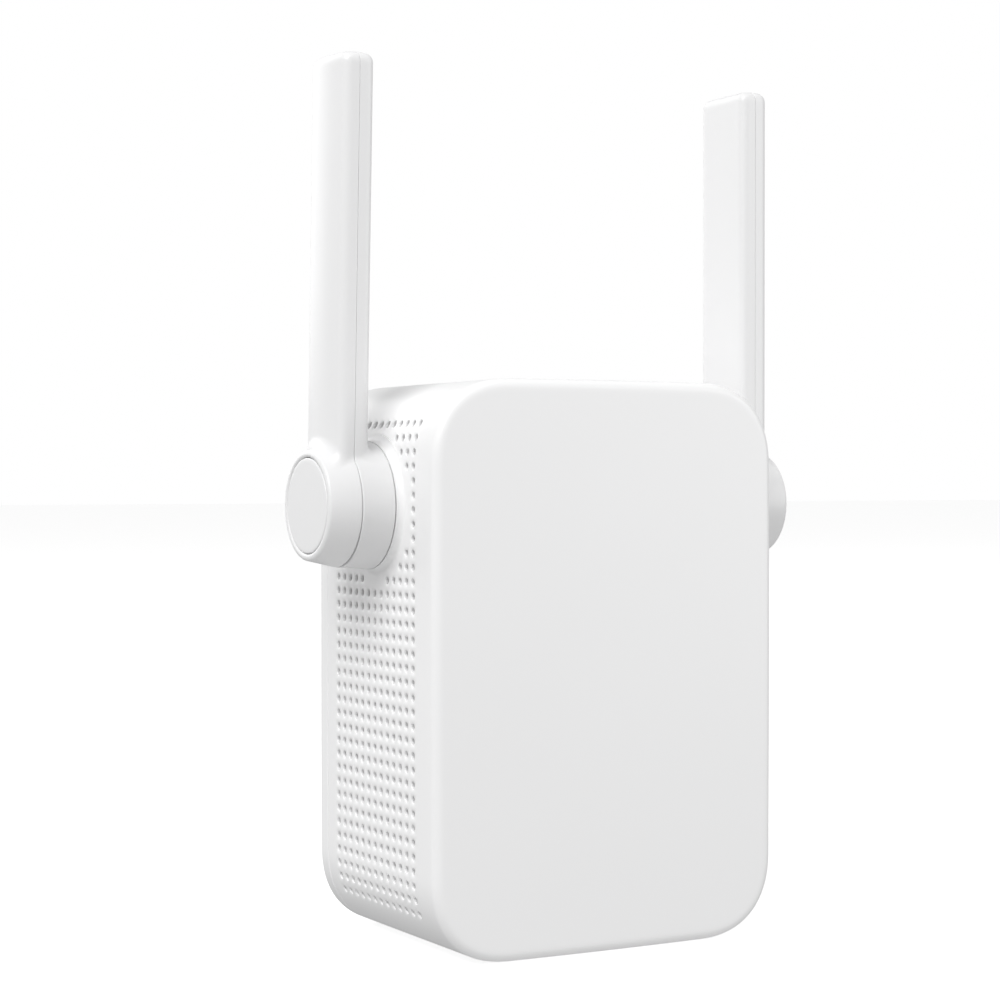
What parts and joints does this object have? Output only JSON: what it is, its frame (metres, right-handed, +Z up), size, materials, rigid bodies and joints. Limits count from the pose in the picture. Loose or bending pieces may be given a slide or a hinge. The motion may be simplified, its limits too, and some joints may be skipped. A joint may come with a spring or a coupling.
{
  "type": "wifi range extender",
  "caption": "White plug-in wireless range extender: deep rounded housing, wall-plug blades behind, perforated sides and a folding paddle antenna on each side.",
  "frame": {"origin": "on the flat rear face of the housing, midway between the two plug blades", "axes": "+X to the right seen from the front, +Y out of the rear face into the wall along the blades, +Z up along the raised antennas"},
  "size_m": [0.0774, 0.0548, 0.1258],
  "materials": {
    "shell_white": "gloss",
    "antenna_white": "satin",
    "black_plastic": "satin",
    "nickel": "nickel plated",
    "steel": "satin",
    "board": "solder mask",
    "clear": "clear",
    "copper": "enamelled wire",
    "ferrite": "matte",
    "sleeve": "shrink sleeve",
    "label": "paper"
  },
  "bodies": {
    "housing": {"front_cover": "shell_white", "rear_cover": "antenna_white", "rating_label": "label", "case_screw_1": "steel", "case_screw_2": "steel", "case_screw_3": "steel", "case_screw_4": "steel", "board_screw_1": "steel", "board_screw_2": "steel", "board_screw_3": "steel", "shield_can": "steel", "friction_washer_left": "steel", "friction_washer_right": "steel", "plug_blade_left": "nickel", "plug_blade_right": "nickel", "board_link": "nickel", "jack_contacts": "nickel", "coax_socket_left": "nickel", "coax_socket_right": "nickel", "plug_carrier": "black_plastic", "bridge_rectifier": "black_plastic", "wifi_chip": "black_plastic", "ethernet_transformer": "black_plastic", "ethernet_jack": "black_plastic", "wps_switch_body": "black_plastic", "reset_switch_body": "black_plastic", "coax_pigtail_left": "black_plastic", "coax_pigtail_right": "black_plastic", "power_board": "board", "main_board": "board", "transformer_core": "ferrite", "transformer_winding": "copper", "input_capacitor_a": "sleeve", "input_capacitor_b": "sleeve", "output_capacitor_a": "sleeve", "output_capacitor_b": "sleeve", "fuse_resistor": "sleeve", "led_strip": "clear", "light_guide": "clear"},
    "antenna_left": {"antenna_inner_shell_left": "antenna_white", "antenna_outer_shell_left": "antenna_white", "hinge_end_cap_left": "shell_white", "hub_screw_front_left": "steel", "hub_screw_rear_left": "steel", "radiator_left": "copper", "antenna_coax_left": "black_plastic", "hinge_clip_left": "steel"},
    "antenna_right": {"antenna_inner_shell_right": "antenna_white", "antenna_outer_shell_right": "antenna_white", "hinge_end_cap_right": "shell_white", "hub_screw_front_right": "steel", "hub_screw_rear_right": "steel", "radiator_right": "copper", "antenna_coax_right": "black_plastic", "hinge_clip_right": "steel"},
    "wps_button": {"wps_button_cap": "shell_white", "wps_switch_plunger": "antenna_white"},
    "reset_plunger": {"reset_switch_plunger": "antenna_white"}
  },
  "joints": [
    {"name": "antenna_left_hinge", "type": "hinge", "parent": "housing", "child": "antenna_left", "pos_m": [-0.0279, -0.01875, 0.0043], "axis": [1, 0, 0], "range_deg": [-2, 178]},
    {"name": "antenna_right_hinge", "type": "hinge", "parent": "housing", "child": "antenna_right", "pos_m": [0.0279, -0.01875, 0.0043], "axis": [1, 0, 0], "range_deg": [0, 180]},
    {"name": "wps_button_press", "type": "slide", "parent": "housing", "child": "wps_button", "axis": [-1, 0, 0], "range_m": [0, 0.00035], "stiffness_N_per_m": 2000, "springref_m": -0.0004},
    {"name": "reset_press", "type": "slide", "parent": "housing", "child": "reset_plunger", "axis": [-1, 0, 0], "range_m": [0, 0.00025], "stiffness_N_per_m": 2000, "springref_m": -0.0003}
  ]
}
